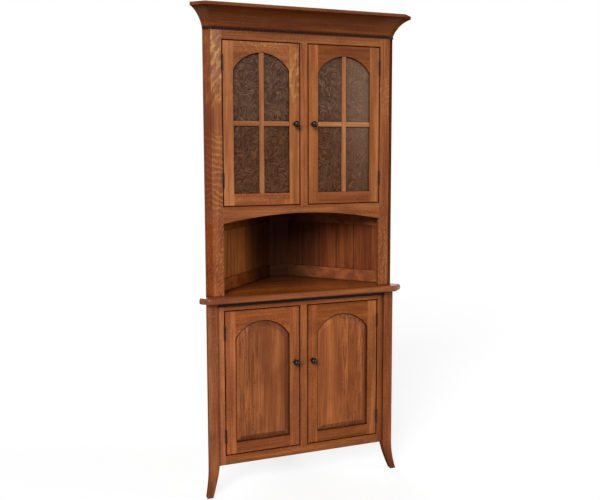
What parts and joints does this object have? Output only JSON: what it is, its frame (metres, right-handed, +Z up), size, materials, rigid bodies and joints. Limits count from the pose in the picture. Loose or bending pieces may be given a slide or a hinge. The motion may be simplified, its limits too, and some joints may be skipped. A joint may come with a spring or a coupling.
{
  "type": "corner cupboard",
  "caption": "Tall corner cupboard with a coved crown, glazed doors with arched heads, an open niche under an arched rail, and a base with raised-panel doors and sabre feet.",
  "frame": {"origin": "on the floor, under the middle of the box that holds the cupboard", "axes": "+Z up, front towards -Y, the room's corner towards +Y, +X to the viewer's right"},
  "size_m": [0.994, 0.4956, 2.108],
  "materials": {
    "case_oak": "reddish-brown stain, satin lacquer",
    "door_oak": "reddish-brown stain, satin lacquer",
    "inside_oak": "reddish-brown stain, satin lacquer",
    "ebonised_wood": "black stain, satin lacquer",
    "glass": "clear, rippled",
    "black_metal": "gloss black"
  },
  "bodies": {
    "carcass": {"front_leg_left": "case_oak", "front_leg_right": "case_oak", "base_stile_left": "case_oak", "base_stile_right": "case_oak", "base_centre_stile": "case_oak", "base_top_rail": "case_oak", "base_bottom_rail": "case_oak", "counter_top": "case_oak", "corner_post_left": "case_oak", "corner_post_right": "case_oak", "upper_centre_stile": "case_oak", "upper_top_rail": "case_oak", "apron_rail": "case_oak", "crown_cove": "case_oak", "top_board": "case_oak", "base_wall_left": "inside_oak", "base_wall_right": "inside_oak", "rear_post": "inside_oak", "base_floor": "inside_oak", "upper_wall_left": "inside_oak", "upper_wall_right": "inside_oak", "upper_back_panel": "inside_oak", "cabinet_floor": "inside_oak", "upper_shelf": "inside_oak", "counter_strip": "ebonised_wood", "crown_bead": "ebonised_wood", "upper_door_left_hinge_bottom": "black_metal", "upper_door_left_hinge_top": "black_metal", "upper_door_right_hinge_bottom": "black_metal", "upper_door_right_hinge_top": "black_metal", "lower_door_left_hinge_bottom": "black_metal", "lower_door_left_hinge_top": "black_metal", "lower_door_right_hinge_bottom": "black_metal", "lower_door_right_hinge_top": "black_metal"},
    "upper_door_left": {"upper_door_left_hinge_stile": "door_oak", "upper_door_left_meeting_stile": "door_oak", "upper_door_left_bottom_rail": "door_oak", "upper_door_left_top_rail": "door_oak", "upper_door_left_glass": "glass", "upper_door_left_glazing_bars": "door_oak", "upper_door_left_knob": "black_metal"},
    "upper_door_right": {"upper_door_right_hinge_stile": "door_oak", "upper_door_right_meeting_stile": "door_oak", "upper_door_right_bottom_rail": "door_oak", "upper_door_right_top_rail": "door_oak", "upper_door_right_glass": "glass", "upper_door_right_glazing_bars": "door_oak", "upper_door_right_knob": "black_metal"},
    "lower_door_left": {"lower_door_left_hinge_stile": "door_oak", "lower_door_left_meeting_stile": "door_oak", "lower_door_left_bottom_rail": "door_oak", "lower_door_left_top_rail": "door_oak", "lower_door_left_panel": "door_oak", "lower_door_left_knob": "black_metal"},
    "lower_door_right": {"lower_door_right_hinge_stile": "door_oak", "lower_door_right_meeting_stile": "door_oak", "lower_door_right_bottom_rail": "door_oak", "lower_door_right_top_rail": "door_oak", "lower_door_right_panel": "door_oak", "lower_door_right_knob": "black_metal"}
  },
  "joints": [
    {"name": "upper_door_left_swing", "type": "hinge", "parent": "carcass", "child": "upper_door_left", "pos_m": [-0.3599, -0.16493, 1.2747], "axis": [0, 0, -1], "range_deg": [0, 135]},
    {"name": "upper_door_right_swing", "type": "hinge", "parent": "carcass", "child": "upper_door_right", "pos_m": [0.3599, -0.16493, 1.2747], "axis": [0, 0, 1], "range_deg": [0, 135]},
    {"name": "lower_door_left_swing", "type": "hinge", "parent": "carcass", "child": "lower_door_left", "pos_m": [-0.3599, -0.15493, 0.1752], "axis": [0, 0, -1], "range_deg": [0, 135]},
    {"name": "lower_door_right_swing", "type": "hinge", "parent": "carcass", "child": "lower_door_right", "pos_m": [0.3599, -0.15493, 0.1752], "axis": [0, 0, 1], "range_deg": [0, 135]}
  ]
}
